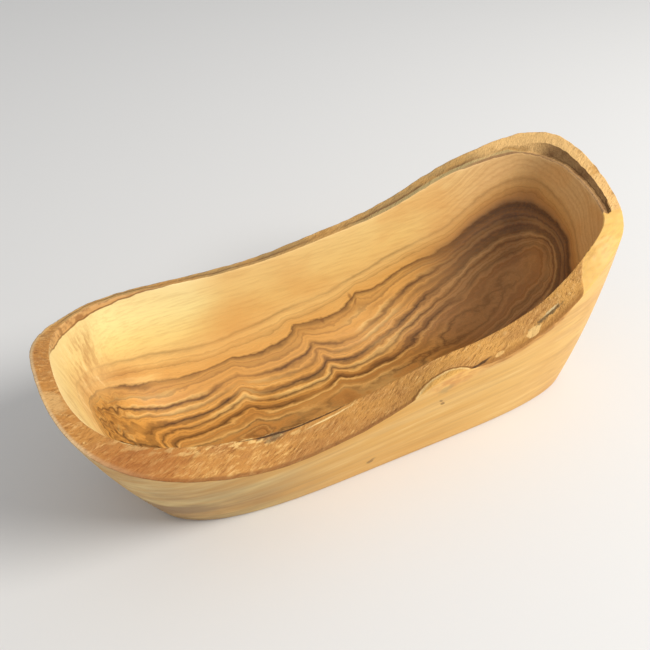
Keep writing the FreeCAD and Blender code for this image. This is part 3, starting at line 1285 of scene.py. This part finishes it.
def bark_side_wood(figure, spot):
    """The rim: the log's own surface, brown, fibrous and rough, and sanded by the tall end."""
    material, bench, shader = new_material("bark_side_olive_wood")
    x, y, _ = bench.millimetres()
    across = bench.attribute("across")
    strokes, fibres, flecks, mottle, broken = (
        bench.grain(kind)
        for kind in (stroke_noise, fibre_noise, fleck_noise, mottle_noise, broken_noise)
    )
    broken = bench.remap(broken, *broken_fade)
    tone = bench.mix(bench.remap(x, *rim_light_x), shade(rim_brown), shade(rim_light))
    tone = bench.paint(tone, mottle_colour, bench.remap(mottle, *mottle_fade))
    tone = bench.paint(tone, stroke_light, bench.remap(strokes, *stroke_light_fade), broken)
    tone = bench.paint(tone, rim_dark, bench.remap(strokes, *stroke_dark_fade), broken)
    tone = bench.paint(tone, rim_dark, bench.remap(fibres, *fibre_dark_fade))
    gold = bench.product(
        bench.remap(flecks, *gold_fleck_fade), bench.remap(fibres, *gold_fibre_fade)
    )
    tone = bench.paint(tone, rim_gold, gold)
    tone = low_rim_tones(bench, tone, x, y, across, flecks, fibres)
    for mark in rim_marks:
        tone = tint(bench, spot, tone, mark)
    # The knot
    wood = add_group(bench, figure, Ring=bench.attribute("ring"), Heart=0.0, Outside=1.0)
    lobe, from_lobe = mark_mask(bench, spot, knot_lobe)
    amber = bench.paint(wood["Color"], knot_lobe.colour, bench.remap(strokes, *lobe_fade))
    tone = bench.mix(lobe, tone, amber)
    lit = bench.product(
        bench.remap(from_lobe, *lobe_lit_from), bench.remap(from_lobe, *lobe_lit_to)
    )
    tone = bench.paint(tone, lobe_lit_colour, lit, lobe_lit_strength)
    arch = bench.product(bench.remap(from_lobe, *arch_from), bench.remap(from_lobe, *arch_to))
    tone = bench.paint(tone, arch_colour, arch, arch_strength)
    tone = tint(bench, spot, tone, knot_crack)
    tone = far_rim_tones(bench, tone, x, y, across, flecks, mottle)
    tone = tall_end_tones(bench, tone, x, y, across, fibres, mottle)
    # The sanded shoulder
    limit = bench.math("SUBTRACT", y, sanded_y)
    limit = bench.math("MULTIPLY_ADD", limit, sanded_slope, sanded_x)
    past = bench.math("SUBTRACT", x, limit)
    past = bench.math("ADD", past, bench.waver(mottle, sanded_waver))
    sanded = bench.product(bench.remap(past, *sanded_edge), bench.remap(y, *sanded_end_y))
    golden = bench.paint(wood["Color"], sanded_colour, bench.remap(strokes, *sanded_fade))
    tone = bench.mix(sanded, tone, golden)
    bench.feed(shader.inputs["Base Color"], tone)
    rough = bench.math("ADD", strokes, bench.product(fibres, rim_fibre_relief))
    rough = bench.product(rough, bench.remap(sanded, 1.0, 0.0))
    bump = bench.bump(rough, rim_bump_strength, rim_bump_distance)
    bench.feed(shader.inputs["Normal"], bump)
    bench.feed(shader.inputs["Roughness"], bench.remap(sanded, *rim_roughness))
    shader.inputs["Specular IOR Level"].default_value = wood_gloss
    return material


def add_camera():
    azimuth, elevation = math.radians(camera_azimuth), math.radians(camera_elevation)
    roll = math.radians(camera_roll)
    back = Vector(
        (
            math.sin(azimuth) * math.cos(elevation),
            -math.cos(azimuth) * math.cos(elevation),
            math.sin(elevation),
        )
    )
    level_right = Vector((math.cos(azimuth), math.sin(azimuth), 0))
    level_up = back.cross(level_right)
    right = level_right * math.cos(roll) + level_up * math.sin(roll)
    up = level_up * math.cos(roll) - level_right * math.sin(roll)
    turned = Matrix((right, up, back)).transposed().to_4x4()
    place = (Vector(camera_target) + back * camera_distance) * MM
    camera = bpy.data.objects.new("camera", bpy.data.cameras.new("camera"))
    camera.data.lens = camera_lens
    camera.data.clip_start = camera_near
    camera.matrix_world = Matrix.Translation(place) @ turned
    bpy.context.scene.collection.objects.link(camera)
    bpy.context.scene.camera = camera


def add_floor():
    skin = bmesh.new()
    bmesh.ops.create_grid(skin, x_segments=1, y_segments=1, size=floor_size)
    mesh = bpy.data.meshes.new("floor")
    skin.to_mesh(mesh)
    skin.free()
    floor = bpy.data.objects.new("floor", mesh)
    bpy.context.scene.collection.objects.link(floor)
    material = bpy.data.materials.new("pale_floor")
    material.use_nodes = True
    shader = material.node_tree.nodes["Principled BSDF"]
    shader.inputs["Base Color"].default_value = (floor_grey, floor_grey, floor_grey, 1)
    shader.inputs["Roughness"].default_value = floor_roughness
    mesh.materials.append(material)


def add_light():
    world = bpy.data.worlds.new("studio")
    world.use_nodes = True
    world.node_tree.nodes["Background"].inputs["Color"].default_value = (1, 1, 1, 1)
    world.node_tree.nodes["Background"].inputs["Strength"].default_value = room_strength
    bpy.context.scene.world = world
    lamp = bpy.data.lights.new("softbox", "AREA")
    lamp.shape = "DISK"
    lamp.size = lamp_size
    lamp.energy = lamp_power
    lamp.color = lamp_colour
    holder = bpy.data.objects.new("softbox", lamp)
    place = Vector(lamp_place)
    turned = place.to_track_quat("Z", "Y").to_matrix().to_4x4()
    holder.matrix_world = Matrix.Translation(place) @ turned
    bpy.context.scene.collection.objects.link(holder)


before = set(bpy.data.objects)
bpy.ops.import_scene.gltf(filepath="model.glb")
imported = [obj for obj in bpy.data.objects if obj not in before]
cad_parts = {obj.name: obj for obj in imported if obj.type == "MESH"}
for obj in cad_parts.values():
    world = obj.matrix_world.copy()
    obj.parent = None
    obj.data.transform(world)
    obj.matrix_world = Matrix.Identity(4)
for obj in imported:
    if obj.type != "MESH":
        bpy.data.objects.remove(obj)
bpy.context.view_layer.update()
add_camera()
add_floor()
add_light()
bpy.context.scene.view_settings.view_transform = "Standard"
bowl = build_bowl(cad_tree(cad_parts["bowl"]))
figure = figure_group()
spot = spot_group()
bowl.data.materials.append(smooth_wood(figure, spot))
bowl.data.materials.append(bark_side_wood(figure, spot))
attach(bowl, "root")
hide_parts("bowl")
